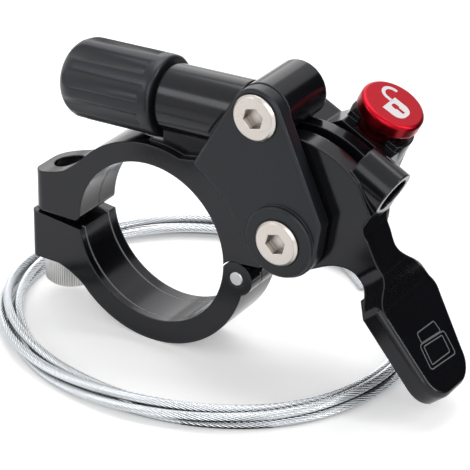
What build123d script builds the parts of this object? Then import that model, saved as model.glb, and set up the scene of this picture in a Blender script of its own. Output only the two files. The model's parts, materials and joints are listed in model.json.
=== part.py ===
from build123d import *
import math
import os

# Fork lockout lever for a 22.2 mm handlebar, in millimetres.
# The origin is the centre of the bar, +Y runs along the bar, +Z is up along the clamp bolt,
# and +X points from the clamp to the thumb paddle. The front is the side of negative Y.

# Bar clamp
bar_radius = 11.1
clamp_half_width = 4.0
upper_wall = 2.7
lower_wall = 3.1
split_top = -0.3
split_gap = 1.2
split_gap_end = 0.4
boss_reach = 7.4
boss_height = 5.2
boss_drop = 5.9
boss_front_rounding = 1.6
boss_back_rounding = 3.4
mouth_rounding = 1.0
bolt_reach = 4.3

# Clamp bolt, an M4 socket head screw
bolt_radius = 2.0
bolt_head_radius = 3.5
bolt_head_height = 4.0
bolt_hex = 3.0
bolt_clearance = 0.15

# Clamp hinge
hinge_reach = 1.9
hinge_z = -1.3
hinge_pin_radius = 1.0
hinge_eye_radius = 2.3
hinge_tongue_width = 3.0
hinge_gap = 0.15

# Lever pivot and top boss
pivot_reach = 9.4
pivot_z = 7.3
top_boss_reach = 5.5
top_boss_rise = 11.7
top_boss_radius = 3.7
top_boss_back = 4.4

# Cover plate
plate_thickness = 2.1
plate_scoop = 2.2
collar_radius = 4.7
collar_height = 0.6

# Screws of the plate
screw_head_radius = 3.0
screw_head_height = 1.5
screw_head_proud = 0.5
screw_radius = 1.5
screw_hex = 2.5
screw_play = 0.03

# Lever
lever_front = -3.5
lever_back = 2.8
sector_radius = 12.9
wire_radius_on_sector = 11.9
groove_width = 1.9
hub_radius = 5.1
sector_start = 46
sector_end = 97
nipple_angle = 62
groove_start = 53
nipple_boss_radius = 3.15
nipple_boss_start = 2.0
nipple_boss_length = 5.2
nipple_bore_radius = 2.35
nipple_bore_depth = 4.0
paddle_front = -3.5
paddle_thickness = 2.9
paddle_rounding = 0.8
thumb_drop = 3.26
neck_recess = 0.45

# Pivot bush, washers and hub
bush_radius = 2.3
running_play = 0.05
washer_gap = 0.05
rear_hub_radius = 3.3

# Ratchet
ratchet_teeth = 30
ratchet_tip_radius = 4.6
ratchet_root_radius = 4.05
ratchet_front = 3.9
ratchet_back = 7.2

# Housing behind the sector
housing_front = 3.6
housing_floor = 7.7
housing_back = 9.6
housing_radius = 7.0

# Button, on an axis that points at the lever's pivot
button_angle = 63.5
button_y = 7.4
button_face = 16.95
button_radius = 4.2
button_flange = 1.75
button_neck_radius = 3.0
button_stem_radius = 1.3
button_travel = 1.3
button_play = 0.06
collar_top = 13.7
collar_outer = 4.3
housing_flat = 12.9
wall_shoulder = 10.1
button_floor = 10.3
pocket_top = 9.3
button_neck_end = 12.4
button_stem_end = 8.6
clip_radius = 2.0
clip_thickness = 0.35

# Pawl, in the button's own frame: across and along the button's axis
pawl_across = -4.0
pawl_along = 6.9
pawl_eye_radius = 1.5
pawl_pin_radius = 0.8
pawl_front = 4.2
pawl_back = 6.9

# Cable adjuster
barrel_x = 5.0
barrel_rise = 8.2
barrel_tilt = 2.5
tube_radius = 4.4
tube_left = 4.0
tube_right = 7.2
tube_bore_radius = 2.6
wire_exit_radius = 1.1
barrel_screw_radius = 2.5
barrel_screw_engaged = 5.0
barrel_bore_radius = 1.4
housing_seat_radius = 2.05
housing_seat_depth = 7.0
housing_seat_web = 0.8
grip_radius = 5.3
grip_length = 16.8
grip_gap = 0.8
grip_relief = 0.25
grip_end_radius = 3.2
flute_count = 9
flute_radius = 1.5
flute_depth = 0.55

# Loose inner cable
wire_radius = 0.6
coil_x = 2.5
coil_y = 4.0
coil_outer = 29.6
coil_width = 6.6
coil_height = 2.4
coil_edge = 0.9
tail_start = 38
tail_step = 12.8
tail_insets = (3.1, 2.0, -0.2, -2.3)
tail_rises = (0.6, 0.8, 2.2, 2.2)
nipple_radius = 2.2
nipple_length = 3.2
crimp_radius = 0.9
crimp_length = 6.0
crimp_angle = 44

# Springs, drawn as straight stretches of square wire
spring_stretches = 10
button_spring_radius = 2.1
button_spring_wire = 0.36
button_spring_turns = 3
pawl_spring_radius = 1.15
pawl_spring_wire = 0.22
pawl_spring_turns = 2
return_spring_wire = 0.5
return_spring_turns = 3
barrel_spring_radius = 3.1
barrel_spring_wire = 0.36
barrel_spring_turns = 4
spring_end_play = 0.03
spring_pocket_depth = 2.4
spring_pocket_radius = 3.55
spring_recess_outer = 4.3
spring_recess_depth = 2.2

os.makedirs("parts", exist_ok=True)
written = []


def depth_plane(y):
    """Plane across the bar at depth y, seen from the front, with X to the right and Z up."""
    return Plane.XZ.offset(-y)


def save(builder, label):
    """Labels a finished piece and writes its file."""
    builder.part.label = label
    export_step(builder.part, f"parts/{label}.step")
    written.append(label)


ring_outer = bar_radius + upper_wall
lower_outer = bar_radius + lower_wall
split_bottom = split_top - split_gap
boss_end_x = -bar_radius - boss_reach
bolt_x = -bar_radius - bolt_reach
hinge_x = bar_radius + hinge_reach
pivot_x = bar_radius + pivot_reach
top_boss_x = bar_radius + top_boss_reach
top_boss_z = bar_radius + top_boss_rise
barrel_z = bar_radius + barrel_rise
plate_back = -clamp_half_width
plate_front = plate_back - plate_thickness
collar_front = plate_front - collar_height
top_screw_face = plate_front - screw_head_proud
pivot_screw_face = collar_front - screw_head_proud
pivot = (pivot_x, pivot_z)
top_boss = (top_boss_x, top_boss_z)


def polar(radius, degrees):
    """Point at an angle round the lever's pivot, in the plane across the bar."""
    turn = math.radians(degrees)
    return (pivot_x + radius * math.cos(turn), pivot_z + radius * math.sin(turn))


def from_pivot(sideways, upward):
    """Point in the plane across the bar, given from the lever's pivot."""
    return (pivot_x + sideways, pivot_z + upward)


def from_top_boss(sideways, upward):
    """Point in the plane across the bar, given from the centre of the top boss."""
    return (top_boss_x + sideways, top_boss_z + upward)


def round_bar(radius, degrees):
    """Point at an angle round the bar, in the plane across it."""
    turn = math.radians(degrees)
    return (radius * math.cos(turn), radius * math.sin(turn))


# Directions of the button: along its axis away from the pivot, and across it
button_turn = math.radians(button_angle)
along = (math.cos(button_turn), math.sin(button_turn))
across = (math.sin(button_turn), -math.cos(button_turn))


def button_point(sideways, outward):
    """Point in the plane across the bar, given in the button's own directions."""
    return (
        pivot_x + sideways * across[0] + outward * along[0],
        pivot_z + sideways * across[1] + outward * along[1],
    )


def button_plane(outward):
    """Plane square to the button's axis, at a distance from the lever's pivot."""
    centre = button_point(0, outward)
    return Plane(
        origin=(centre[0], button_y, centre[1]),
        x_dir=(across[0], 0, across[1]),
        z_dir=(along[0], 0, along[1]),
    )


# Cable adjuster's axis, pointing out of the tube to the left and a little down
tilt = math.radians(barrel_tilt)
barrel_out = (-math.cos(tilt), 0, -math.sin(tilt))


def barrel_plane(outward):
    """Plane square to the adjuster's axis, at a distance out from the axis point."""
    return Plane(
        origin=(barrel_x + outward * barrel_out[0], 0, barrel_z + outward * barrel_out[2]),
        x_dir=(0, 1, 0),
        z_dir=barrel_out,
    )


def boss_corner(builder, depth):
    """Upright edge at the end of a clamp half's bolt boss, on one of its two sides."""
    upright = builder.edges().filter_by(Axis.Z)
    return upright.sort_by(lambda edge: edge.center().X + abs(edge.center().Y - depth))[:1]


def mouth_corner(builder, height):
    """Edge along the bar where a clamp half's split face meets its bore."""
    lengthwise = builder.edges().filter_by(Axis.Y)
    corner = Vector(-bar_radius, 0, height)
    return lengthwise.sort_by(lambda edge: (edge.center() - corner).length)[:1]


# Clamp body: upper clamp half, cable tube, top boss, wall behind the sector and button collar
with BuildPart() as clamp_body:
    # upper half of the ring with its bolt boss
    with BuildSketch(depth_plane(-clamp_half_width)):
        Circle(ring_outer)
        with BuildLine():
            Polyline(
                (boss_end_x, boss_height),
                (boss_end_x, split_top),
                (0, split_top),
                (0, bar_radius),
                round_bar(ring_outer, 131),
            )
            Spline(
                round_bar(ring_outer, 131),
                (boss_end_x + 5.7, boss_height + 1.7),
                (boss_end_x, boss_height),
                tangents=((-0.75, -0.66), (-1, -0.08)),
            )
        make_face()
        with BuildLine():
            Polyline(
                (0, split_top),
                (bar_radius + 5.3, split_top + 1.7),
                round_bar(ring_outer + 4.0, 13),
                round_bar(ring_outer + 3.7, 29),
                round_bar(ring_outer + 3.4, 44),
                round_bar(ring_outer + 2.3, 59),
                round_bar(ring_outer - 0.2, 73),
                (0, split_top),
            )
        make_face()
        with Locations((0, split_top - ring_outer)):
            Rectangle(3 * ring_outer, 2 * ring_outer, mode=Mode.SUBTRACT)
    extrude(amount=-2 * clamp_half_width)

    # web that carries the tube and the top boss on the ring
    with BuildSketch(depth_plane(-clamp_half_width + 1.2)):
        with BuildLine():
            Polyline(
                (-1.6, ring_outer - 1.5),
                (1.2, barrel_z - 1.0),
                (barrel_x + tube_right, barrel_z + 1.0),
                (top_boss_x, top_boss_z),
                (barrel_x + 8.0, ring_outer - 2.0),
                (-1.6, ring_outer - 1.5),
            )
        make_face()
    extrude(amount=-(housing_front + clamp_half_width - 1.2))

    # wall behind the sector, with the arm that carries the button
    with BuildSketch(depth_plane(housing_front)):
        with Locations(pivot):
            Circle(housing_radius)
        with BuildLine():
            Polyline(
                button_point(-10.4, -0.5),
                button_point(-10.2, 6.0),
                button_point(-8.8, wall_shoulder),
                button_point(-5.6, wall_shoulder),
                button_point(-3.6, housing_flat),
                button_point(4.0, housing_flat),
                button_point(5.0, 5.0),
                button_point(5.0, 0),
                button_point(-10.4, -0.5),
            )
        make_face()
        with BuildLine():
            Polyline(
                round_bar(bar_radius + 1.2, 12),
                round_bar(bar_radius + 1.6, 45),
                round_bar(bar_radius + 2.1, 72),
                (barrel_x - 1.0, barrel_z - 1.8),
                from_top_boss(-3.4, -1.5),
                from_top_boss(0, -1.0),
                from_pivot(-0.9, 0),
                from_pivot(-3.0, -6.3),
                round_bar(bar_radius + 1.2, 12),
            )
        make_face()
    extrude(amount=-(housing_back - housing_front))
    fillet(clamp_body.edges().group_by(Axis.Y)[-1], 1.1)

    # cable tube and top boss
    with BuildSketch(barrel_plane(tube_left)):
        Circle(tube_radius)
    extrude(amount=-(tube_left + tube_right))
    with BuildSketch(depth_plane(-clamp_half_width)):
        with Locations(top_boss):
            Circle(top_boss_radius)
    extrude(amount=-(clamp_half_width + top_boss_back))

    # collar round the button, cut flush with the front of the wall
    with BuildSketch(button_plane(6.0)):
        Circle(collar_outer)
    extrude(amount=collar_top - 6.0)
    with BuildSketch(depth_plane(-clamp_half_width)):
        with BuildLine():
            Polyline(
                button_point(-5.2, 5.0),
                button_point(-3.6, collar_top + 3),
                button_point(8.0, collar_top + 3),
                button_point(8.0, 5.0),
                button_point(-5.2, 5.0),
            )
        make_face()
    extrude(amount=-(housing_front + clamp_half_width), mode=Mode.SUBTRACT)
    with BuildSketch(depth_plane(housing_front)):
        with BuildLine():
            Polyline(
                button_point(-collar_outer - 0.2, housing_flat),
                button_point(-collar_outer - 0.2, collar_top + 1),
                button_point(collar_outer + 0.2, collar_top + 1),
                button_point(collar_outer + 0.2, housing_flat),
                button_point(-collar_outer - 0.2, housing_flat),
            )
        make_face()
    extrude(amount=-1.6, mode=Mode.SUBTRACT)

    # room for the sector's swing and for the hub
    with BuildSketch(depth_plane(-clamp_half_width)):
        with Locations(pivot):
            Circle(hub_radius + 0.35)
        with BuildLine():
            Line(pivot, polar(sector_radius + 0.3, 20))
            ThreePointArc(
                polar(sector_radius + 0.3, 20),
                polar(sector_radius + 0.3, 80),
                polar(sector_radius + 0.3, sector_end + 34),
            )
            Line(polar(sector_radius + 0.3, sector_end + 34), pivot)
        make_face()
    extrude(amount=-(clamp_half_width + housing_front), mode=Mode.SUBTRACT)

    # pocket for the ratchet and the pawl
    with BuildSketch(depth_plane(housing_front)):
        with Locations(pivot):
            Circle(ratchet_tip_radius + 0.4)
        with BuildLine():
            Polyline(
                button_point(-8.7, 0.4),
                button_point(-8.7, 3.0),
                button_point(-6.3, 7.6),
                button_point(-5.2, 8.7),
                button_point(-4.2, pocket_top),
                button_point(2.6, pocket_top),
                button_point(2.6, 3.6),
                button_point(-3.0, 2.4),
                button_point(-3.6, 0.4),
                button_point(-8.7, 0.4),
            )
        make_face()
    extrude(amount=-(housing_floor - housing_front), mode=Mode.SUBTRACT)

    # bores: bar, bolt, hinge, screws, cable and button
    with BuildSketch(depth_plane(-clamp_half_width)):
        Circle(bar_radius)
        with Locations((hinge_x, hinge_z)):
            Circle(hinge_eye_radius + hinge_gap)
    extrude(amount=-2 * clamp_half_width - 8, mode=Mode.SUBTRACT)
    with BuildSketch(Plane.XY.offset(split_top)):
        with Locations((bolt_x, 0)):
            Circle(bolt_radius + screw_play)
    extrude(amount=3 * boss_height, mode=Mode.SUBTRACT)
    with BuildSketch(depth_plane(-clamp_half_width)):
        with Locations(pivot, top_boss):
            Circle(screw_radius + screw_play)
    extrude(amount=-(clamp_half_width + housing_back + 1), mode=Mode.SUBTRACT)
    with BuildSketch(barrel_plane(tube_left)):
        Circle(tube_bore_radius)
    extrude(amount=-(tube_left + tube_right - 3.0), mode=Mode.SUBTRACT)
    with BuildSketch(barrel_plane(tube_left)):
        Circle(spring_pocket_radius)
    extrude(amount=-spring_pocket_depth, mode=Mode.SUBTRACT)
    with BuildSketch(barrel_plane(tube_left)):
        Circle(grip_radius + grip_relief)
    extrude(amount=grip_length + 2 * grip_gap, mode=Mode.SUBTRACT)
    with BuildSketch(barrel_plane(tube_left)):
        Circle(wire_exit_radius)
    extrude(amount=-(tube_left + tube_right + 4.0), mode=Mode.SUBTRACT)
    with BuildSketch(button_plane(button_floor)):
        Circle(button_neck_radius + button_play)
    extrude(amount=collar_top, mode=Mode.SUBTRACT)
    with BuildSketch(button_plane(button_floor)):
        Circle(button_stem_radius + button_play)
    extrude(amount=-2, mode=Mode.SUBTRACT)
    with BuildSketch(button_plane(pocket_top)):
        Circle(clip_radius + 0.3)
    extrude(amount=-(pocket_top - button_stem_end + button_travel + 0.1), mode=Mode.SUBTRACT)
    with BuildSketch(depth_plane(housing_floor)):
        with Locations(button_point(pawl_across, pawl_along)):
            Circle(pawl_pin_radius + 0.01)
    extrude(amount=-(housing_back - housing_floor), mode=Mode.SUBTRACT)

    # flat under the cover plate
    with BuildSketch(depth_plane(-clamp_half_width)):
        with BuildLine():
            Polyline(
                from_top_boss(-9.6, -10.2),
                from_top_boss(-8.7, -6.4),
                from_top_boss(-7.3, -3.9),
                from_top_boss(-5.2, -0.9),
                from_top_boss(7.4, 7.2),
                from_top_boss(7.4, -10.2),
                from_top_boss(-9.6, -10.2),
            )
        make_face()
    extrude(amount=tube_radius, mode=Mode.SUBTRACT)

    # tongue of the hinge
    with BuildSketch(depth_plane(-hinge_tongue_width / 2)):
        with Locations((hinge_x, hinge_z)):
            Circle(hinge_eye_radius)
        with BuildLine():
            Polyline(
                (hinge_x - 1.9, hinge_z + 1.3),
                (hinge_x - 1.6, hinge_z + 4.3),
                (hinge_x + 3.0, hinge_z + 4.3),
                (hinge_x + 2.2, hinge_z + 0.4),
                (hinge_x - 1.9, hinge_z + 1.3),
            )
        make_face()
        with Locations((hinge_x, hinge_z)):
            Circle(hinge_pin_radius + screw_play, mode=Mode.SUBTRACT)
        Circle(bar_radius, mode=Mode.SUBTRACT)
    extrude(amount=-hinge_tongue_width)

    # rounded end of the bolt boss and rounded mouth of the clamp
    fillet(boss_corner(clamp_body, -clamp_half_width), boss_front_rounding)
    fillet(boss_corner(clamp_body, clamp_half_width), boss_back_rounding)
    fillet(mouth_corner(clamp_body, split_top), mouth_rounding)
save(clamp_body, "clamp_body")

# Lower clamp half with its bolt boss and the two eyes of the hinge
lower_end_x = boss_end_x - 0.4
boss_bottom = split_bottom - boss_drop
with BuildPart() as clamp_lower:
    with BuildSketch(depth_plane(-clamp_half_width)):
        Circle(lower_outer)
        with BuildLine():
            Polyline(
                round_bar(lower_outer, 230),
                (0, split_bottom),
                (-bar_radius, split_bottom),
                (lower_end_x, split_top - split_gap_end),
                (lower_end_x, boss_bottom),
                (boss_end_x + 3.9, boss_bottom),
            )
            ThreePointArc(
                (boss_end_x + 3.9, boss_bottom),
                (boss_end_x + 7.0, boss_bottom - 1.4),
                round_bar(lower_outer, 230),
            )
        make_face()
        with BuildLine():
            Polyline(
                (-bar_radius, split_bottom),
                (lower_end_x, split_top - split_gap_end),
                (lower_end_x, lower_outer),
                (lower_outer + hinge_eye_radius, lower_outer),
                (lower_outer + hinge_eye_radius, split_bottom),
                (-bar_radius, split_bottom),
            )
        make_face(mode=Mode.SUBTRACT)
        with Locations((hinge_x, hinge_z)):
            Circle(hinge_eye_radius)
            Circle(hinge_pin_radius + running_play, mode=Mode.SUBTRACT)
        Circle(bar_radius, mode=Mode.SUBTRACT)
    extrude(amount=-2 * clamp_half_width)
    with BuildSketch(depth_plane(-hinge_tongue_width / 2 - hinge_gap)):
        with Locations((hinge_x, hinge_z)):
            Circle(hinge_eye_radius + hinge_gap)
    extrude(amount=-(hinge_tongue_width + 2 * hinge_gap), mode=Mode.SUBTRACT)
    with BuildSketch(Plane.XY):
        with Locations((bolt_x, 0)):
            Circle(bolt_radius + bolt_clearance)
    extrude(amount=-2 * lower_outer, mode=Mode.SUBTRACT)
    with BuildSketch(Plane.XY.offset(boss_bottom)):
        with Locations((bolt_x, 0)):
            Circle(bolt_head_radius + bolt_clearance)
    extrude(amount=-boss_drop, mode=Mode.SUBTRACT)
    fillet(boss_corner(clamp_lower, -clamp_half_width), boss_front_rounding / 2)
    fillet(boss_corner(clamp_lower, clamp_half_width), boss_back_rounding)
    fillet(mouth_corner(clamp_lower, split_bottom), mouth_rounding)
save(clamp_lower, "clamp_lower")

# Hinge pin, flush with both sides of the clamp
with BuildPart() as hinge_pin:
    with BuildSketch(depth_plane(-clamp_half_width)):
        with Locations((hinge_x, hinge_z)):
            Circle(hinge_pin_radius)
    extrude(amount=-2 * clamp_half_width)
    chamfer(hinge_pin.edges(), 0.15)
save(hinge_pin, "hinge_pin")

# Socket head bolt that draws the lower half up to the upper one
with BuildPart() as clamp_bolt:
    with BuildSketch(Plane.XY.offset(boss_bottom)):
        with Locations((bolt_x, 0)):
            Circle(bolt_head_radius)
    extrude(amount=-bolt_head_height)
    chamfer(clamp_bolt.edges().group_by(Axis.Z)[0], 0.35)
    with BuildSketch(Plane.XY.offset(boss_bottom)):
        with Locations((bolt_x, 0)):
            Circle(bolt_radius)
    extrude(amount=boss_height - boss_bottom - 1.0)
    chamfer(clamp_bolt.edges().group_by(Axis.Z)[-1], 0.4)
    with BuildSketch(Plane.XY.offset(boss_bottom - bolt_head_height)):
        with Locations((bolt_x, 0)):
            RegularPolygon(bolt_hex / 2, 6, major_radius=False)
    extrude(amount=0.55 * bolt_head_height, mode=Mode.SUBTRACT)
save(clamp_bolt, "clamp_bolt")

# Cover plate with its raised collar and the seats of both screw heads
with BuildPart() as front_plate:
    with BuildSketch(depth_plane(plate_back)) as plate_outline:
        with Locations(top_boss):
            Circle(top_boss_radius - 0.1)
        with Locations(pivot):
            Circle(collar_radius + 0.3)
        with Locations(round_bar(ring_outer + 1.6, 58.3), from_pivot(4.6, 3.3)):
            Circle(0.9)
        make_hull()
        scoop_radius = ring_outer + plate_scoop
        Circle(scoop_radius, mode=Mode.SUBTRACT)
        scoop_ends = plate_outline.vertices().filter_by(
            lambda vertex: abs(math.hypot(vertex.X, vertex.Y) - scoop_radius) < 0.05
        )
        fillet(scoop_ends, 0.5)
    extrude(amount=plate_thickness)
    chamfer(front_plate.faces().sort_by(Axis.Y)[0].edges(), 0.3)
    with BuildSketch(depth_plane(plate_front)):
        with Locations(pivot):
            Circle(collar_radius)
    extrude(amount=collar_height)
    chamfer(front_plate.faces().sort_by(Axis.Y)[0].edges(), 0.2)
    with BuildSketch(depth_plane(plate_back)):
        with Locations(pivot, top_boss):
            Circle(screw_radius + 2 * screw_play)
    extrude(amount=2 * plate_thickness, mode=Mode.SUBTRACT)
    for centre, face in ((top_boss, top_screw_face), (pivot, pivot_screw_face)):
        with BuildSketch(depth_plane(face + screw_head_height)):
            with Locations(centre):
                Circle(screw_head_radius + 2 * screw_play)
        extrude(amount=2 * screw_head_height, mode=Mode.SUBTRACT)
save(front_plate, "front_plate")


def plate_screw(centre, face, end):
    """Screw with a low round head and a hexagon socket, from its face to its end along the bar."""
    with BuildPart() as screw:
        with BuildSketch(depth_plane(face)):
            with Locations(centre):
                Circle(screw_head_radius)
        extrude(amount=-screw_head_height)
        chamfer(screw.faces().sort_by(Axis.Y)[0].edges(), 0.3)
        with BuildSketch(depth_plane(face)):
            with Locations(centre):
                Circle(screw_radius)
        extrude(amount=-(end - face))
        chamfer(screw.faces().sort_by(Axis.Y)[-1].edges(), 0.3)
        with BuildSketch(depth_plane(face)):
            with Locations(centre):
                RegularPolygon(screw_hex / 2, 6, rotation=15, major_radius=False)
        extrude(amount=-0.7 * screw_head_height, mode=Mode.SUBTRACT)
    return screw


top_screw = plate_screw(top_boss, top_screw_face, top_boss_back - 0.6)
save(top_screw, "top_screw")
pivot_screw = plate_screw(pivot, pivot_screw_face, housing_back - 0.3)
save(pivot_screw, "pivot_screw")


def ring(inner, outer, front, back):
    """Plain ring round the lever's pivot between two depths."""
    with BuildPart() as piece:
        with BuildSketch(depth_plane(front)):
            with Locations(pivot):
                Circle(outer)
                Circle(inner, mode=Mode.SUBTRACT)
        extrude(amount=-(back - front))
    return piece


rear_hub_end = ratchet_back + 0.1
spring_recess_inner = bush_radius + 0.65
bush_bore = screw_radius + 2 * screw_play
pivot_bush = ring(bush_bore, bush_radius, plate_back, housing_floor)
save(pivot_bush, "pivot_bush")
front_washer = ring(
    bush_radius + running_play, spring_recess_inner, plate_back + washer_gap, lever_front - washer_gap
)
save(front_washer, "front_washer")
rear_washer = ring(
    bush_radius + running_play, rear_hub_radius, rear_hub_end + washer_gap, housing_floor - washer_gap
)
save(rear_washer, "rear_washer")

# Direction of the nipple's bore: along the sector's tangent at the nipple
nipple_turn = math.radians(nipple_angle)
nipple_out = (math.sin(nipple_turn), 0, -math.cos(nipple_turn))


def nipple_plane(distance):
    """Plane square to the nipple's bore, at a distance from the sector's tangent point."""
    start = polar(wire_radius_on_sector, nipple_angle)
    return Plane(
        origin=(start[0] + distance * nipple_out[0], 0, start[1] + distance * nipple_out[2]),
        x_dir=(0, 1, 0),
        z_dir=nipple_out,
    )


# Paddle's own plane: x down its length, y along the bar, z out of the thumb face
paddle_origin = from_pivot(13.0, -2.3)
paddle_plane = Plane(
    origin=(paddle_origin[0], 0, paddle_origin[1]), x_dir=(0.652, 0, -0.758), z_dir=(0.758, 0, 0.652)
)
neck_top = from_pivot(9.9, 5.1)

# Thumb paddle: a thick plate, rounded all round its thumb face
with BuildPart() as paddle:
    with BuildSketch(paddle_plane.offset(-thumb_drop)):
        with BuildLine():
            Line((3.4, paddle_front), (13.6, paddle_front))
            ThreePointArc((13.6, paddle_front), (16.0, paddle_front + 1.0), (17.0, paddle_front + 3.4))
            Line((17.0, paddle_front + 3.4), (17.0, 3.0))
            ThreePointArc((17.0, 3.0), (16.1, 5.3), (13.8, 6.7))
            Line((13.8, 6.7), (6.4, 9.2))
            ThreePointArc((6.4, 9.2), (4.5, 9.4), (3.0, 8.4))
            Polyline((3.0, 8.4), (1.4, 5.4), (1.4, paddle_front + 1.6), (3.4, paddle_front))
        make_face()
    extrude(amount=-paddle_thickness)
    fillet(paddle.faces().sort_by(Axis((0, 0, 0), paddle_plane.z_dir))[-1].edges(), paddle_rounding)

# Lever: thumb paddle, neck, hub, grooved sector and nipple boss in one casting
with BuildPart() as lever:
    # side view of the neck
    with BuildSketch(depth_plane(paddle_front)):
        with BuildLine():
            Line(pivot, from_pivot(2.8, -4.3))
            Spline(
                from_pivot(2.8, -4.3),
                from_pivot(6.9, -2.6),
                from_pivot(9.2, -3.0),
                from_pivot(10.2, -4.7),
                from_pivot(10.3, -7.1),
                from_pivot(11.7, -10.2),
                tangents=((0.9, 0.45), (0.62, -0.78)),
            )
            Line(from_pivot(11.7, -10.2), from_pivot(13.6, -8.0))
            Spline(
                from_pivot(13.6, -8.0),
                from_pivot(12.85, -5.7),
                from_pivot(13.0, -3.1),
                from_pivot(11.8, -0.5),
                from_pivot(10.5, 2.0),
                neck_top,
                tangents=((-0.652, 0.758), (0, 1)),
            )
            Line(neck_top, pivot)
        make_face()
    extrude(amount=-15)
    # the neck seen square on: slim, and wider to the back where it meets the paddle
    neck_side = paddle_front + neck_recess
    with BuildSketch(paddle_plane):
        with BuildLine():
            Line((-16, paddle_front), (-1.8, paddle_front))
            Spline(
                (-1.8, paddle_front),
                (-0.3, paddle_front + 0.8 * neck_recess),
                (1.2, neck_side),
                tangents=((1, 0), (1, 0)),
            )
            Line((1.2, neck_side), (8.0, neck_side))
            Line((8.0, neck_side), (8.0, 8.8))
            Line((8.0, 8.8), (5.0, 8.8))
            Spline(
                (5.0, 8.8),
                (3.0, 7.9),
                (1.0, 5.0),
                (-0.6, 2.7),
                (-2.2, 1.7),
                (-4.2, 1.9),
                (-6.5, lever_back),
                tangents=((-1, -0.15), (-0.8, 0.5)),
            )
            Line((-6.5, lever_back), (-16, lever_back))
            Line((-16, lever_back), (-16, paddle_front))
        make_face()
    extrude(amount=30, both=True, mode=Mode.INTERSECT)
    add(paddle.part)
    # hub, and the sector that the cable runs round
    with BuildSketch(depth_plane(lever_front)):
        with Locations(pivot):
            Circle(hub_radius)
        with BuildLine():
            Line(pivot, polar(sector_radius, sector_start))
            ThreePointArc(
                polar(sector_radius, sector_start),
                polar(sector_radius, (sector_start + sector_end) / 2),
                polar(sector_radius, sector_end),
            )
            Line(polar(sector_radius, sector_end), pivot)
        make_face()
        with BuildLine():
            Polyline(
                pivot,
                polar(sector_radius, sector_start),
                from_pivot(10.9, 5.3),
                from_pivot(10.1, 3.7),
                pivot,
            )
        make_face()
    extrude(amount=-(lever_back - lever_front))
    # groove for the cable, up to the nipple's boss
    groove_floor = wire_radius_on_sector - wire_radius
    groove_rim = sector_radius + 1
    groove_end = sector_end + 4
    groove_middle = (groove_start + groove_end) / 2
    with BuildSketch(depth_plane(-groove_width / 2)):
        with BuildLine():
            Line(polar(groove_floor, groove_start), polar(groove_rim, groove_start))
            ThreePointArc(
                polar(groove_rim, groove_start),
                polar(groove_rim, groove_middle),
                polar(groove_rim, groove_end),
            )
            Line(polar(groove_rim, groove_end), polar(groove_floor, groove_end))
            ThreePointArc(
                polar(groove_floor, groove_end),
                polar(groove_floor, groove_middle),
                polar(groove_floor, groove_start),
            )
        make_face()
    extrude(amount=-groove_width, mode=Mode.SUBTRACT)
    # boss for the nipple, and the rear end of the hub
    with BuildSketch(nipple_plane(nipple_boss_start)):
        Circle(nipple_boss_radius)
    extrude(amount=nipple_boss_length)
    with BuildSketch(depth_plane(lever_back)):
        with Locations(pivot):
            Circle(rear_hub_radius)
    extrude(amount=-(rear_hub_end - lever_back))
    # seat of the nipple, and the wire's way from it into the groove
    with BuildSketch(nipple_plane(nipple_boss_start + nipple_boss_length)):
        Circle(nipple_bore_radius)
    extrude(amount=-nipple_bore_depth, mode=Mode.SUBTRACT)
    with BuildSketch(nipple_plane(nipple_boss_start + nipple_boss_length)):
        Circle(groove_width / 2)
    extrude(amount=-nipple_boss_length - 2, mode=Mode.SUBTRACT)
    # bore for the bush and recess for the return spring
    with BuildSketch(depth_plane(lever_front)):
        with Locations(pivot):
            Circle(bush_radius + running_play)
    extrude(amount=-(rear_hub_end - lever_front), mode=Mode.SUBTRACT)
    with BuildSketch(depth_plane(lever_front)):
        with Locations(pivot):
            Circle(spring_recess_outer)
            Circle(spring_recess_inner, mode=Mode.SUBTRACT)
    extrude(amount=-spring_recess_depth, mode=Mode.SUBTRACT)
save(lever, "lever")

# Toothed ring on the lever's hub: saw teeth that hold against the pull of the cable
with BuildPart() as ratchet_ring:
    with BuildSketch(depth_plane(ratchet_front)):
        with Locations(pivot):
            Circle(ratchet_root_radius)
        tooth_pitch = 360 / ratchet_teeth
        for tooth in range(ratchet_teeth):
            start = tooth * tooth_pitch
            with BuildLine():
                Polyline(
                    polar(ratchet_root_radius - 0.2, start),
                    polar(ratchet_tip_radius, start),
                    polar(ratchet_tip_radius, start + 0.15 * tooth_pitch),
                    polar(ratchet_root_radius - 0.02, start + tooth_pitch),
                    polar(ratchet_root_radius - 0.2, start + tooth_pitch),
                    polar(ratchet_root_radius - 0.2, start),
                )
            make_face()
        with Locations(pivot):
            Circle(rear_hub_radius + screw_play, mode=Mode.SUBTRACT)
    extrude(amount=-(ratchet_back - ratchet_front))
save(ratchet_ring, "ratchet_ring")

# Pawl: a rocker with its hook at the ring and its tail under the button's stem
pawl_centre = button_point(pawl_across, pawl_along)
with BuildPart() as pawl:
    with BuildSketch(depth_plane(pawl_front)):
        with Locations(pawl_centre):
            Circle(pawl_eye_radius)
        with BuildLine():
            Polyline(
                button_point(pawl_across, pawl_along - 0.4),
                button_point(0.8, pawl_along - 0.35),
                button_point(0.8, pawl_along + 0.8),
                button_point(0.5, pawl_along + 1.6),
                button_point(-0.5, pawl_along + 1.6),
                button_point(-0.9, pawl_along + 0.75),
                button_point(pawl_across, pawl_along + 0.75),
                button_point(pawl_across, pawl_along - 0.4),
            )
        make_face()
        with BuildLine():
            Polyline(
                button_point(pawl_across + 0.6, pawl_along),
                button_point(pawl_across - 1.5, pawl_along),
                button_point(-6.2, 2.6),
                button_point(-6.0, 0.9),
                button_point(-5.2, 0.8),
                button_point(-4.62, 1.15),
                button_point(-4.95, 2.0),
                button_point(-4.75, 3.2),
                button_point(pawl_across + 0.6, pawl_along),
            )
        make_face()
        with Locations(pawl_centre):
            Circle(pawl_pin_radius + running_play, mode=Mode.SUBTRACT)
    extrude(amount=-(pawl_back - pawl_front))
save(pawl, "pawl")

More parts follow.
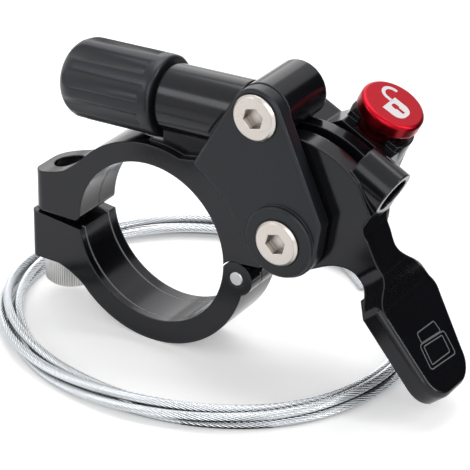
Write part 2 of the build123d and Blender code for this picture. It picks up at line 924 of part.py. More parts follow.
# Pin of the pawl, set in the housing's back wall
with BuildPart() as pawl_pin:
    with BuildSketch(depth_plane(housing_front + 0.2)):
        with Locations(pawl_centre):
            Circle(pawl_pin_radius)
    extrude(amount=-(housing_back - 0.5 - housing_front - 0.2))
save(pawl_pin, "pawl_pin")

# Release button with its neck and stem
with BuildPart() as release_button:
    with BuildSketch(button_plane(button_face)):
        Circle(button_radius)
    extrude(amount=-button_flange)
    fillet(release_button.edges().sort_by(lambda edge: edge.center().Z)[-1], 0.5)
    with BuildSketch(button_plane(button_face - button_flange)):
        Circle(button_neck_radius)
    extrude(amount=-(button_face - button_flange - button_neck_end))
    with BuildSketch(button_plane(button_neck_end)):
        Circle(button_stem_radius)
    extrude(amount=-(button_neck_end - button_stem_end))
    with BuildSketch(button_plane(button_stem_end + 0.28)):
        Circle(button_stem_radius)
        Circle(button_stem_radius - 0.3, mode=Mode.SUBTRACT)
    extrude(amount=clip_thickness + 0.04, mode=Mode.SUBTRACT)
save(release_button, "release_button")

# Clip on the stem that keeps the button in its bore
with BuildPart() as button_clip:
    with BuildSketch(button_plane(button_stem_end + 0.3)):
        Circle(clip_radius)
        Circle(button_stem_radius - 0.28, mode=Mode.SUBTRACT)
        with Locations((clip_radius, 0)):
            Rectangle(2 * clip_radius, 1.2, mode=Mode.SUBTRACT)
    extrude(amount=clip_thickness)
save(button_clip, "button_clip")


def coil_spring(seat, radius, length, turns, wire):
    """Spring of square wire wound in straight stretches, standing on a seat plane."""
    count = turns * spring_stretches
    turn = 2 * math.pi / spring_stretches
    rise = (length - wire - 2 * spring_end_play) / count
    first = wire / 2 + spring_end_play
    corners = [
        seat.from_local_coords((
            radius * math.cos(turn * index),
            radius * math.sin(turn * index),
            first + rise * index,
        ))
        for index in range(count + 1)
    ]
    with BuildPart() as spring:
        with BuildLine() as path:
            Polyline(*corners)
        with BuildSketch(path.line ^ 0):
            Rectangle(wire, wire)
        sweep(transition=Transition.RIGHT)
    return spring


button_spring = coil_spring(
    button_plane(button_floor), button_spring_radius,
    button_neck_end - button_floor, button_spring_turns, button_spring_wire,
)
save(button_spring, "button_spring")
pawl_spring_seat = Plane(origin=(pawl_centre[0], pawl_back, pawl_centre[1]), z_dir=(0, 1, 0))
pawl_spring = coil_spring(
    pawl_spring_seat, pawl_spring_radius,
    housing_floor - pawl_back, pawl_spring_turns, pawl_spring_wire,
)
save(pawl_spring, "pawl_spring")
return_spring_seat = Plane(origin=(pivot_x, lever_front, pivot_z), z_dir=(0, 1, 0))
return_spring = coil_spring(
    return_spring_seat, (spring_recess_inner + spring_recess_outer) / 2,
    spring_recess_depth, return_spring_turns, return_spring_wire,
)
save(return_spring, "return_spring")

# Hollow screw of the cable adjuster
screw_inner_end = tube_left - barrel_screw_engaged
grip_start = tube_left + grip_gap
grip_end = grip_start + grip_length
seat_floor = grip_end - housing_seat_depth
screw_outer_end = seat_floor - housing_seat_web
seal_groove = screw_inner_end + 1.0
with BuildPart() as barrel_screw:
    with BuildSketch(barrel_plane(screw_inner_end)):
        Circle(barrel_screw_radius)
        Circle(barrel_bore_radius, mode=Mode.SUBTRACT)
    extrude(amount=screw_outer_end - screw_inner_end)
    with BuildSketch(barrel_plane(seal_groove)):
        Circle(barrel_screw_radius)
        Circle(barrel_screw_radius - 0.45, mode=Mode.SUBTRACT)
    extrude(amount=0.7, mode=Mode.SUBTRACT)
save(barrel_screw, "barrel_screw")

# Rubber ring in the screw's groove
with BuildPart() as barrel_seal:
    with BuildSketch(barrel_plane(seal_groove + 0.08)):
        Circle(barrel_screw_radius + 0.05)
        Circle(barrel_screw_radius - 0.42, mode=Mode.SUBTRACT)
    extrude(amount=0.54)
    chamfer(barrel_seal.edges(), 0.15)
save(barrel_seal, "barrel_seal")

# Fluted cap of the adjuster, fixed on its screw, with the seat of the cable housing in its end
with BuildPart() as barrel_grip:
    with BuildSketch(barrel_plane(grip_start)):
        Circle(grip_radius)
    extrude(amount=grip_length)
    outer_end = barrel_grip.faces().sort_by(Axis.X)[0]
    fillet(outer_end.edges(), grip_end_radius)
    inner_end = barrel_grip.faces().sort_by(Axis.X)[-1]
    fillet(inner_end.edges(), 0.5)
    with BuildSketch(barrel_plane(grip_start + 1.4)):
        with PolarLocations(grip_radius + flute_radius - flute_depth, flute_count):
            Circle(flute_radius)
    extrude(amount=grip_length, mode=Mode.SUBTRACT)
    with BuildSketch(barrel_plane(grip_start)):
        Circle(barrel_screw_radius + screw_play)
    extrude(amount=screw_outer_end - grip_start + screw_play, mode=Mode.SUBTRACT)
    with BuildSketch(barrel_plane(grip_end)):
        Circle(housing_seat_radius)
    extrude(amount=-housing_seat_depth, mode=Mode.SUBTRACT)
    with BuildSketch(barrel_plane(seat_floor)):
        Circle(barrel_bore_radius)
    extrude(amount=-2 * housing_seat_web, mode=Mode.SUBTRACT)
save(barrel_grip, "barrel_grip")

# Spring between the tube and the cap
barrel_spring = coil_spring(
    barrel_plane(tube_left - spring_pocket_depth), barrel_spring_radius,
    spring_pocket_depth + grip_gap, barrel_spring_turns, barrel_spring_wire,
)
save(barrel_spring, "barrel_spring")

# Loose inner cable: the outer shape of its coil, round the foot of the clamp
floor_z = -lower_outer
with BuildPart() as cable_coil:
    with BuildSketch(Plane.XY.offset(floor_z)):
        with Locations((coil_x, coil_y)):
            Circle(coil_outer)
            Circle(coil_outer - coil_width, mode=Mode.SUBTRACT)
    extrude(amount=coil_height)
    chamfer(cable_coil.edges(), coil_edge)
save(cable_coil, "cable_coil")


def coil_point(radius, degrees, rise):
    """Point at an angle round the coil's centre, at a height over the surface it lies on."""
    turn = math.radians(degrees)
    return Vector(
        coil_x + radius * math.cos(turn), coil_y + radius * math.sin(turn), floor_z + rise
    )


# Last stretch of the cable: straight runs joined by tangent arcs, out of the coil to the nipple
tail_points = [
    coil_point(coil_outer - inset, tail_start + tail_step * index, rise)
    for index, (inset, rise) in enumerate(zip(tail_insets, tail_rises))
]
tail_arcs = []
for before, corner, after in zip(tail_points, tail_points[1:], tail_points[2:]):
    incoming = corner - before
    outgoing = after - corner
    half_turn = math.radians(incoming.get_angle(outgoing)) / 2
    tail_arcs.append(0.45 * min(incoming.length, outgoing.length) / math.tan(half_turn))
with BuildPart() as cable_tail:
    with BuildLine() as tail_path:
        FilletPolyline(*tail_points, radius=tail_arcs)
    with BuildSketch(tail_path.line ^ 0):
        Circle(wire_radius)
    sweep()
save(cable_tail, "cable_tail")
tail_volume = math.pi * wire_radius**2 * sum(edge.length for edge in tail_path.edges())
print("cable tail: arc radii", [round(radius, 1) for radius in tail_arcs])
print("cable tail: volume", round(cable_tail.part.volume / tail_volume, 4), "of section times length")

# Drum-shaped nipple at the cable's end, lying on the surface
nipple_direction = tail_points[-1] - tail_points[-2]
with BuildPart() as cable_nipple:
    with BuildSketch(Plane(origin=tail_points[-1], z_dir=nipple_direction)):
        Circle(nipple_radius)
    extrude(amount=nipple_length)
    chamfer(cable_nipple.edges(), 0.25)
save(cable_nipple, "cable_nipple")

# Crimped tip on the other end, lying against the inside of the coil
crimp_start = coil_point(coil_outer - coil_width + 0.6, crimp_angle, crimp_radius)
crimp_turn = math.radians(crimp_angle)
with BuildPart() as cable_crimp:
    with BuildSketch(
        Plane(origin=crimp_start, z_dir=(math.sin(crimp_turn), -math.cos(crimp_turn), 0))
    ):
        Circle(crimp_radius)
    extrude(amount=crimp_length)
    chamfer(cable_crimp.edges(), 0.2)
save(cable_crimp, "cable_crimp")
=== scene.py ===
import json
import math

import bmesh
import bpy
from mathutils import Matrix, Vector


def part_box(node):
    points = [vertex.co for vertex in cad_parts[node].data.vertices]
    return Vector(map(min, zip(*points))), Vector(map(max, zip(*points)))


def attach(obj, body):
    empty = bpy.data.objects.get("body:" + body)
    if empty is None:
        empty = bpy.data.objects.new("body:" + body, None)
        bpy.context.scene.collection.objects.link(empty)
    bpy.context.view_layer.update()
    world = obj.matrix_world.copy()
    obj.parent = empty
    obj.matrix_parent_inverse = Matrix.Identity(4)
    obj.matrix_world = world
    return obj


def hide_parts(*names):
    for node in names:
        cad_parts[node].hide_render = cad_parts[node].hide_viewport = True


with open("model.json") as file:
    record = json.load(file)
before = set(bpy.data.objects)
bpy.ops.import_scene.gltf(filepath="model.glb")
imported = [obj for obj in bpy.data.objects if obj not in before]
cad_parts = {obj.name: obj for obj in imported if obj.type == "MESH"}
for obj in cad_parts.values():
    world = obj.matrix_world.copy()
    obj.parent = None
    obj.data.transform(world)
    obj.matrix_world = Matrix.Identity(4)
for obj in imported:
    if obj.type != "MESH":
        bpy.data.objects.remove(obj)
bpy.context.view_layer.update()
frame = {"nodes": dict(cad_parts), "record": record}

nodes = frame["nodes"]
scene = bpy.context.scene
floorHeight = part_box("cable_coil")[0].z


# Camera, placed as the photograph was taken

cameraSettings = {
    "azimuth": 32.0,  # degrees round the part, from its front
    "elevation": 28.0,
    "roll": 1.0,
    "distance": 0.3,
    "lens": 181.9,  # millimetres, on a 36 mm sensor
    "target": (0.01027, 0.0, 0.0024),
}


def placeCamera(settings):
    turn = (
        Matrix.Rotation(math.radians(settings["azimuth"]), 4, "Z")
        @ Matrix.Rotation(math.radians(90 - settings["elevation"]), 4, "X")
        @ Matrix.Rotation(math.radians(settings["roll"]), 4, "Z")
    )
    data = bpy.data.cameras.new("photoCamera")
    data.lens = settings["lens"]
    data.sensor_width = 36
    data.clip_start = 0.01
    camera = bpy.data.objects.new("photoCamera", data)
    scene.collection.objects.link(camera)
    away = turn @ Vector((0, 0, settings["distance"]))
    camera.matrix_world = Matrix.Translation(Vector(settings["target"]) + away) @ turn
    scene.camera = camera


placeCamera(cameraSettings)
print("camera placed")


# Small helpers for node trees

def newMaterial(name):
    material = bpy.data.materials.new(name)
    material.use_nodes = True
    tree = material.node_tree
    return material, tree, tree.nodes["Principled BSDF"]


def addNode(tree, kind, **values):
    node = tree.nodes.new(kind)
    for key, value in values.items():
        setattr(node, key, value)
    return node


def mathNode(tree, operation, first, second=None, clamp=False):
    node = addNode(tree, "ShaderNodeMath", operation=operation, use_clamp=clamp)
    for socket, value in zip(node.inputs, (first, second)):
        if isinstance(value, bpy.types.NodeSocket):
            tree.links.new(value, socket)
        elif value is not None:
            socket.default_value = value
    return node.outputs[0]


def newGroup(name, inputs, outputs):
    group = bpy.data.node_groups.new(name, "ShaderNodeTree")
    for socketName, kind, value in inputs:
        socket = group.interface.new_socket(socketName, in_out="INPUT", socket_type=kind)
        if value is not None:
            socket.default_value = value
    for socketName, kind in outputs:
        group.interface.new_socket(socketName, in_out="OUTPUT", socket_type=kind)
    return group, group.nodes.new("NodeGroupInput"), group.nodes.new("NodeGroupOutput")


def placeGroup(tree, group, **values):
    node = tree.nodes.new("ShaderNodeGroup")
    node.node_tree = group
    for key, value in values.items():
        node.inputs[key].default_value = value
    return node


# Shared effects: a fine skin of paint or casting, and edges lightened, partly as wear and partly as a painted
# highlight

skinSettings = {
    "bumpDistance": 0.00003,
    "cloudRange": (0.3, 0.7),  # of the soft noise, from the smoothest to the roughest place
    "edgeWearHighlightFrom": 0.995, "edgeWearHighlightTo": 0.85,  # how far the rounded normal leaves the true one at an edge
}


def makeSkinGroup():
    group, source, result = newGroup(
        "paintSkin",
        [("Grain", "NodeSocketFloat", 3000.0), ("Cloud", "NodeSocketFloat", 120.0),
         ("Height", "NodeSocketFloat", 0.3), ("Rounding", "NodeSocketFloat", 0.0003)],
        [("Normal", "NodeSocketVector"), ("Cloudiness", "NodeSocketFloat")],
    )
    place = group.nodes.new("ShaderNodeTexCoord")
    fine = addNode(group, "ShaderNodeTexNoise")
    fine.inputs["Detail"].default_value = 2
    soft = addNode(group, "ShaderNodeTexNoise")
    soft.inputs["Detail"].default_value = 3
    group.links.new(place.outputs["Object"], fine.inputs["Vector"])
    group.links.new(place.outputs["Object"], soft.inputs["Vector"])
    group.links.new(source.outputs["Grain"], fine.inputs["Scale"])
    group.links.new(source.outputs["Cloud"], soft.inputs["Scale"])
    bump = addNode(group, "ShaderNodeBump")
    bump.inputs["Distance"].default_value = skinSettings["bumpDistance"]
    corner = addNode(group, "ShaderNodeBevel", samples=6)
    group.links.new(source.outputs["Rounding"], corner.inputs["Radius"])
    group.links.new(corner.outputs["Normal"], bump.inputs["Normal"])
    group.links.new(source.outputs["Height"], bump.inputs["Strength"])
    group.links.new(fine.outputs["Fac"], bump.inputs["Height"])
    group.links.new(bump.outputs["Normal"], result.inputs["Normal"])
    group.links.new(soft.outputs["Fac"], result.inputs["Cloudiness"])
    return group


def makeEdgeGroup():
    group, source, result = newGroup(
        "edgeWearAndHighlight",
        [("Width", "NodeSocketFloat", 0.0002), ("Amount", "NodeSocketFloat", 1.0)],
        [("Edge", "NodeSocketFloat")],
    )
    corner = addNode(group, "ShaderNodeBevel", samples=6)
    group.links.new(source.outputs["Width"], corner.inputs["Radius"])
    surface = group.nodes.new("ShaderNodeNewGeometry")
    match = addNode(group, "ShaderNodeVectorMath", operation="DOT_PRODUCT")
    group.links.new(corner.outputs["Normal"], match.inputs[0])
    group.links.new(surface.outputs["Normal"], match.inputs[1])
    spread = addNode(group, "ShaderNodeMapRange")
    spread.inputs["From Min"].default_value = skinSettings["edgeWearHighlightFrom"]
    spread.inputs["From Max"].default_value = skinSettings["edgeWearHighlightTo"]
    group.links.new(match.outputs["Value"], spread.inputs["Value"])
    edge = mathNode(group, "MULTIPLY", spread.outputs["Result"], source.outputs["Amount"], clamp=True)
    group.links.new(edge, result.inputs["Edge"])
    return group


skinGroup = makeSkinGroup()
edgeGroup = makeEdgeGroup()


def placeAxes(tree, centre=(0, 0, 0)):
    # Object coordinates taken from a chosen centre, one axis per socket
    place = tree.nodes.new("ShaderNodeTexCoord")
    shift = addNode(tree, "ShaderNodeVectorMath", operation="SUBTRACT")
    shift.inputs[1].default_value = centre
    tree.links.new(place.outputs["Object"], shift.inputs[0])
    axes = tree.nodes.new("ShaderNodeSeparateXYZ")
    tree.links.new(shift.outputs["Vector"], axes.inputs[0])
    return axes.outputs


def fadeMask(tree, value, full, none):
    # 1 up to the first number, 0 past the second
    fade = addNode(tree, "ShaderNodeMapRange")
    fade.inputs["From Min"].default_value = none
    fade.inputs["From Max"].default_value = full
    tree.links.new(value, fade.inputs["Value"])
    return fade.outputs["Result"]


def lineMask(tree, coordinate, middle, width):
    away = mathNode(tree, "ABSOLUTE", mathNode(tree, "SUBTRACT", coordinate, middle))
    return fadeMask(tree, away, 0.3 * width, 0.7 * width)


boreMarks = {
    "reach": (0.0114, 0.0116),  # from the bore's axis: whole marks up to here, none past there
    "lines": (-0.00285, 0.0024),  # along the bar, in the lower half
    "lineWidth": 0.00022,
    "partingLine": 0.0004,  # along the bar, in the upper half
    "partingWidth": 0.00028,
    "partingWander": 0.0009,
    "partingScale": 700,
}


def boreMask(tree, axes):
    squares = [mathNode(tree, "POWER", axes[name], 2.0) for name in ("X", "Z")]
    radius = mathNode(tree, "SQRT", mathNode(tree, "ADD", *squares))
    return fadeMask(tree, radius, *boreMarks["reach"])


def makeLowerLines():
    # Two fine lines turned into the lower half's bore, drawn pale: their colour is a painted highlight on the
    # lines' edges
    group, _, result = newGroup("boreLines", [], [("Mark", "NodeSocketFloat")])
    axes = placeAxes(group)
    first, second = (lineMask(group, axes["Y"], place, boreMarks["lineWidth"]) for place in boreMarks["lines"])
    lines = mathNode(group, "MAXIMUM", first, second)
    group.links.new(mathNode(group, "MULTIPLY", lines, boreMask(group, axes)), result.inputs["Mark"])
    return group


def makePartingLine():
    # Ragged seam of the casting, in the middle of the upper half's bore
    group, _, result = newGroup("partingLine", [], [("Mark", "NodeSocketFloat")])
    axes = placeAxes(group)
    wander = addNode(group, "ShaderNodeTexNoise")
    wander.inputs["Scale"].default_value = boreMarks["partingScale"]
    wander.inputs["Detail"].default_value = 3
    place = group.nodes.new("ShaderNodeTexCoord")
    group.links.new(place.outputs["Object"], wander.inputs["Vector"])
    drift = mathNode(group, "MULTIPLY", wander.outputs["Fac"], boreMarks["partingWander"])
    along = mathNode(group, "ADD", axes["Y"], drift)
    middle = boreMarks["partingLine"] + boreMarks["partingWander"] / 2
    seam = lineMask(group, along, middle, boreMarks["partingWidth"])
    group.links.new(mathNode(group, "MULTIPLY", seam, boreMask(group, axes)), result.inputs["Mark"])
    return group


boltKnurl = {
    "axis": (-0.0154, 0, 0),
    "count": 72,
}


def makeKnurl():
    # Fine upright ribs round the bolt's head
    group, _, result = newGroup("boltKnurl", [], [("Mark", "NodeSocketFloat")])
    axes = placeAxes(group, boltKnurl["axis"])
    around = mathNode(group, "ARCTAN2", axes["Y"], axes["X"])
    wave = mathNode(group, "SINE", mathNode(group, "MULTIPLY", around, float(boltKnurl["count"])))
    group.links.new(mathNode(group, "MULTIPLY_ADD", wave, 0.5), result.inputs["Mark"])
    return group


def blendColours(tree, mask, first, second):
    mix = addNode(tree, "ShaderNodeMix", data_type="RGBA")
    factor, a, b, result = mix.inputs[0], mix.inputs[6], mix.inputs[7], mix.outputs[2]
    for socket, value in ((a, first), (b, second)):
        if isinstance(value, bpy.types.NodeSocket):
            tree.links.new(value, socket)
        else:
            socket.default_value = (*value, 1)
    tree.links.new(mask, factor)
    return result


def coatMetal(name, settings, relief=None):
    material, tree, shader = newMaterial(name)
    skin = placeGroup(
        tree, skinGroup, Grain=settings["grain"], Height=settings["height"], Rounding=settings["rounding"],
    )
    edge = placeGroup(tree, edgeGroup, Width=settings["edgeWidth"], Amount=settings["edgeAmount"])
    # Edges take a lighter colour along their rounding: partly wear, partly a painted highlight
    colour = blendColours(tree, edge.outputs["Edge"], settings["colour"], settings["edgeColour"])
    # Painted shade: an ambient-occlusion node darkens the colour in hollows, corners and grooves, where shade
    # falls
    if settings.get("paintedShadeReach"):
        hollow = addNode(tree, "ShaderNodeAmbientOcclusion", samples=8)
        hollow.inputs["Distance"].default_value = settings["paintedShadeReach"]
        shadeAmount = mathNode(tree, "POWER", hollow.outputs["AO"], settings["paintedShadeStrength"])
        colour = blendColours(tree, shadeAmount, settings["paintedShadeColour"], colour)
    normal = skin.outputs["Normal"]
    if relief:
        mark = placeGroup(tree, relief)
        colour = blendColours(tree, mark.outputs["Mark"], colour, settings["markColour"])
        bump = addNode(tree, "ShaderNodeBump")
        bump.inputs["Distance"].default_value = settings["markDepth"]
        tree.links.new(mark.outputs["Mark"], bump.inputs["Height"])
        tree.links.new(normal, bump.inputs["Normal"])
        normal = bump.outputs["Normal"]
    tree.links.new(colour, shader.inputs["Base Color"])
    rough = addNode(tree, "ShaderNodeMapRange")
    rough.inputs["From Min"].default_value, rough.inputs["From Max"].default_value = skinSettings["cloudRange"]
    rough.inputs["To Min"].default_value, rough.inputs["To Max"].default_value = settings["roughness"]
    tree.links.new(skin.outputs["Cloudiness"], rough.inputs["Value"])
    tree.links.new(rough.outputs["Result"], shader.inputs["Roughness"])
    tree.links.new(normal, shader.inputs["Normal"])
    shader.inputs["Metallic"].default_value = settings["metallic"]
    shader.inputs["Specular IOR Level"].default_value = settings["specular"]
    shader.inputs["Specular Tint"].default_value = (*settings.get("tint", (1, 1, 1)), 1)
    shader.inputs["Coat Weight"].default_value = settings.get("coat", 0)
    shader.inputs["Coat Roughness"].default_value = settings.get("coatRoughness", 0.1)
    return material


castBlack = {
    "colour": (0.0040, 0.0042, 0.0054), "edgeColour": (0.045, 0.046, 0.052),
    "grain": 1500.0, "height": 0.08, "rounding": 0.00035, "edgeWidth": 0.00015, "edgeAmount": 0.9,
    "roughness": (0.12, 0.2), "metallic": 0.0, "specular": 0.36, "tint": (0.94, 0.95, 1.0),
}
plateGrey = {
    "colour": (0.0065, 0.007, 0.0088), "edgeColour": (0.055, 0.057, 0.065),
    "grain": 5200.0, "height": 0.4, "rounding": 0.0003, "edgeWidth": 0.00018, "edgeAmount": 0.8,
    "roughness": (0.3, 0.38), "metallic": 0.0, "specular": 0.36, "tint": (0.92, 0.94, 1.0),
}
gripBlack = {
    "colour": (0.006, 0.0063, 0.0075), "edgeColour": (0.02, 0.02, 0.023),
    "grain": 4200.0, "height": 0.35, "rounding": 0.0003, "edgeWidth": 0.0002, "edgeAmount": 0.6,
    "roughness": (0.3, 0.4), "metallic": 0.0, "specular": 0.42, "tint": (0.9, 0.92, 1.0),
}
redAnodised = {
    # The pale pink edge colour is a painted highlight along the button's rim
    "colour": (0.40, 0.002, 0.012), "edgeColour": (0.82, 0.10, 0.15),
    "grain": 6000.0, "height": 0.25, "rounding": 0.00035, "edgeWidth": 0.00025, "edgeAmount": 1.0,
    "roughness": (0.27, 0.34), "metallic": 1.0, "specular": 0.5,
    # Painted shade: the button's hollows, such as its neck by the collar, darkened towards near black
    "paintedShadeReach": 0.005, "paintedShadeStrength": 2.0, "paintedShadeColour": (0.02, 0.0003, 0.001),
    "coat": 0.15, "coatRoughness": 0.18,
}
nickelPlate = {
    "colour": (0.60, 0.56, 0.52), "edgeColour": (0.75, 0.72, 0.68),
    "grain": 5000.0, "height": 0.25, "rounding": 0.0002, "edgeWidth": 0.00015, "edgeAmount": 0.8,
    "roughness": (0.25, 0.35), "metallic": 1.0, "specular": 0.5,
    # Painted shade: the screws' hex sockets and other hollows darkened
    "paintedShadeReach": 0.0014, "paintedShadeStrength": 1.3, "paintedShadeColour": (0.1, 0.09, 0.08),
}
# The lower half's pale mark colour is a painted highlight along its bore lines
lowerHalf = {**castBlack, "markColour": (0.16, 0.16, 0.17), "markDepth": -0.0001}
upperHalf = {**castBlack, "markColour": (0.001, 0.001, 0.001), "markDepth": -0.0002}
turnedSteel = {
    "colour": (0.56, 0.56, 0.56), "edgeColour": (0.7, 0.7, 0.7),
    "grain": 4000.0, "height": 0.4, "rounding": 0.0002, "edgeWidth": 0.00015, "edgeAmount": 0.8,
    "roughness": (0.25, 0.35), "metallic": 1.0, "specular": 0.5,
}
boltSteel = {
    **turnedSteel, "colour": (0.86, 0.85, 0.83), "markColour": (0.58, 0.57, 0.55), "markDepth": 0.0001,
}
cableSteel = {
    "colour": (0.70, 0.73, 0.76), "edgeColour": (0.8, 0.82, 0.85),
    "grain": 8000.0, "height": 0.2, "rounding": 0.00002, "edgeWidth": 0.00002, "edgeAmount": 0.1,
    "roughness": (0.22, 0.3), "metallic": 1.0, "specular": 0.5,
    # Painted shade: the grooves between strands and where the turns touch darkened
    "paintedShadeReach": 0.0007, "paintedShadeStrength": 1.3, "paintedShadeColour": (0.05, 0.055, 0.065),
}
sealRubber = {
    "colour": (0.012, 0.012, 0.012), "edgeColour": (0.02, 0.02, 0.02),
    "grain": 3000.0, "height": 0.4, "rounding": 0.0001, "edgeWidth": 0.0001, "edgeAmount": 0.3,
    "roughness": (0.6, 0.7), "metallic": 0.0, "specular": 0.4,
}

finishes = {
    "cast_black": coatMetal("castBlack", castBlack),
    "plate_grey": coatMetal("plateGrey", plateGrey),
    "grip_black": coatMetal("gripBlack", gripBlack),
    "red_anodised": coatMetal("redAnodised", redAnodised),
    "nickel": coatMetal("nickelPlate", nickelPlate),
    "bolt_steel": coatMetal("boltSteel", boltSteel, makeKnurl()),
    "steel": coatMetal("turnedSteel", turnedSteel),
    "cable_steel": coatMetal("cableSteel", cableSteel),
    "seal_rubber": coatMetal("sealRubber", sealRubber),
}


nodeFinishes = {
    "clamp_lower": coatMetal("lowerHalf", lowerHalf, makeLowerLines()),
    "clamp_body": coatMetal("upperHalf", upperHalf, makePartingLine()),
}


def dressNodes():
    for part in frame["record"]["subparts"]:
        mesh = nodes[part["node"]].data
        mesh.materials.clear()
        mesh.materials.append(nodeFinishes.get(part["node"], finishes[part["material_slot"]]))


dressNodes()
print("finishes made")


# Loose inner cable, with its turns and its strands

cable = {
    "radius": 0.0006,
    "coilCentre": (0.0025, 0.004),
    "middleRadius": 0.0258,  # of the ring in which the turns lie
    "swell": 0.0016, "swellAt": -5,  # the ring reaches further to the right
    "oval": 0.0015,
    "bundleHeight": 0.00088,  # from the bundle's middle to a turn's middle
    "bundleWidth": (0.00092, 0.00128), "wideAt": 150,
    "twist": -270,  # degrees by which the bundle turns in one round, so each turn becomes the next
    "twistStart": -120,
    "crossing": 40, "crossingAt": -110,  # the twist is quickest here
    "turns": 4,
    "pointsPerTurn": 32,
    "freeEnd": (53, 0.0235, 0.0006),
    "freeEndLength": 26,  # degrees over which it parts from the others
    "layLength": 0.010,  # one round of a strand
    "strands": 12,
    "strandDepth": 0.22,  # share of the radius
    "outlinePoints": 4,  # for each strand
    "tail": [(38, 0.0265, 0.0006), (50.8, 0.0276, 0.0008), (63.6, 0.0298, 0.0022), (76.4, 0.0319, 0.0022)],
    "tailEase": 30,  # degrees over which the tail joins the bundle
}


def coilPoint(degrees, radius, rise):
    turn = math.radians(degrees)
    centre = cable["coilCentre"]
    return Vector((
        centre[0] + radius * math.cos(turn), centre[1] + radius * math.sin(turn), floorHeight + rise,
    ))


def turnPlace(degrees, travelled):
    # The turns lie as one loosely twisted bundle, its lowest turn on the floor
    around = math.radians(degrees)
    middle = (
        cable["middleRadius"] + cable["oval"] * math.cos(2 * around)
        + cable["swell"] * math.cos(around - math.radians(cable["swellAt"]))
    )
    phase = math.radians(
        cable["twistStart"] + cable["twist"] * travelled / 360
        + cable["crossing"] * math.sin(around - math.radians(cable["crossingAt"]))
    )
    narrow, wide = cable["bundleWidth"]
    spread = 0.5 + 0.5 * math.cos(around - math.radians(cable["wideAt"]))
    width = narrow + (wide - narrow) * spread
    lowest = cable["bundleHeight"] * max(abs(math.sin(phase)), abs(math.cos(phase)))
    return (
        middle + width * math.cos(phase),
        cable["radius"] + lowest + cable["bundleHeight"] * math.sin(phase),
    )


def easeBetween(first, second, share):
    share = min(max(share, 0), 1)
    share = share * share * (3 - 2 * share)
    return tuple(a + (b - a) * share for a, b in zip(first, second))


def cablePoints():
    points = [coilPoint(*place) for place in reversed(cable["tail"])]
    start = cable["tail"][0]
    end = cable["freeEnd"]
    step = 360 / cable["pointsPerTurn"]
    whole = 360 * cable["turns"] - (end[0] - start[0])
    for index in range(1, round(whole / step) + 1):
        travelled = min(index * step, whole)
        degrees = start[0] - travelled
        place = turnPlace(degrees, travelled)
        place = easeBetween(start[1:], place, travelled / cable["tailEase"])
        place = easeBetween(end[1:], place, (whole - travelled) / cable["freeEndLength"])
        points.append(coilPoint(degrees, *place))
    return points


def makeCable():
    profile = bpy.data.curves.new("strandOutline", "CURVE")
    profile.dimensions = "2D"
    outline = profile.splines.new("POLY")
    steps = cable["strands"] * cable["outlinePoints"]
    outline.points.add(steps - 1)
    for index, point in enumerate(outline.points):
        turn = 2 * math.pi * index / steps
        wave = abs(math.cos(turn * cable["strands"] / 2))
        reach = cable["radius"] * (1 - cable["strandDepth"] * (1 - wave))
        # Clockwise, so that the tube's faces point outwards
        point.co = (reach * math.cos(turn), -reach * math.sin(turn), 0, 1)
    outline.use_cyclic_u = True
    shape = bpy.data.objects.new("strandOutline", profile)
    scene.collection.objects.link(shape)
    shape.hide_render = True
    shape.hide_viewport = True

    data = bpy.data.curves.new("innerCable", "CURVE")
    data.dimensions = "3D"
    data.bevel_mode = "OBJECT"
    data.bevel_object = shape
    data.use_fill_caps = True
    data.resolution_u = 12
    data.twist_mode = "Z_UP"
    spline = data.splines.new("NURBS")
    points = cablePoints()
    spline.points.add(len(points) - 1)
    travelled = 0
    for index, point in enumerate(points):
        if index:
            travelled += (point - points[index - 1]).length
        spline.points[index].co = (*point, 1)
        spline.points[index].tilt = 2 * math.pi * travelled / cable["layLength"]
    spline.use_endpoint_u = True
    spline.order_u = 3
    wire = bpy.data.objects.new("innerCable", data)
    scene.collection.objects.link(wire)
    wire.data.materials.append(finishes["cable_steel"])
    return wire, points, travelled


innerCable, routePoints, routeLength = makeCable()
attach(innerCable, "housing")
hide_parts("cable_coil", "cable_tail")
print("cable laid, run length", round(routeLength, 4))


# Adjuster's cap: the CAD cap made a little shorter and set nearer the tube, as in the photograph

adjusterCap = {
    "end": (0.000205, 0, 0.019091),  # middle of its end at the tube
    "axis": (-0.9990482, 0, -0.0436194),
    "steady": 0.0099,  # up to here nothing moves, so the hollow for the screw stays
    "shorter": 0.0022,
    "nearer": 0.0003,  # towards the tube
}


def makeCap():
    settings = adjusterCap
    shape = bmesh.new()
    shape.from_mesh(nodes["barrel_grip"].data)
    bmesh.ops.remove_doubles(shape, verts=shape.verts, dist=0.000001)
    end = Vector(settings["end"])
    axis = Vector(settings["axis"]).normalized()
    for vert in shape.verts:
        along = (vert.co - end).dot(axis)
        if along > settings["steady"]:
            vert.co -= axis * settings["shorter"]
        elif along < settings["nearer"]:
            vert.co -= axis * settings["nearer"]
    bmesh.ops.recalc_face_normals(shape, faces=shape.faces)
    mesh = bpy.data.meshes.new("adjuster_cap")
    shape.to_mesh(mesh)
    shape.free()
    mesh.materials.append(finishes["grip_black"])
    cap = bpy.data.objects.new("adjuster_cap", mesh)
    scene.collection.objects.link(cap)
    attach(cap, "adjuster")
    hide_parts("barrel_grip")


makeCap()
print("cap made")


# Padlock signs: an open one in pale print on the button, and a closed one on the paddle drawn as fine grey lines,
# a painted highlight for the lit edges of its moulded outline

signPrint = {
    "colour": (0.66, 0.63, 0.65), "edgeColour": (0.7, 0.68, 0.7),
    "grain": 4000.0, "height": 0.1, "rounding": 0.00002, "edgeWidth": 0.00002, "edgeAmount": 0.2,
    "roughness": (0.5, 0.6), "metallic": 0.0, "specular": 0.4,
}
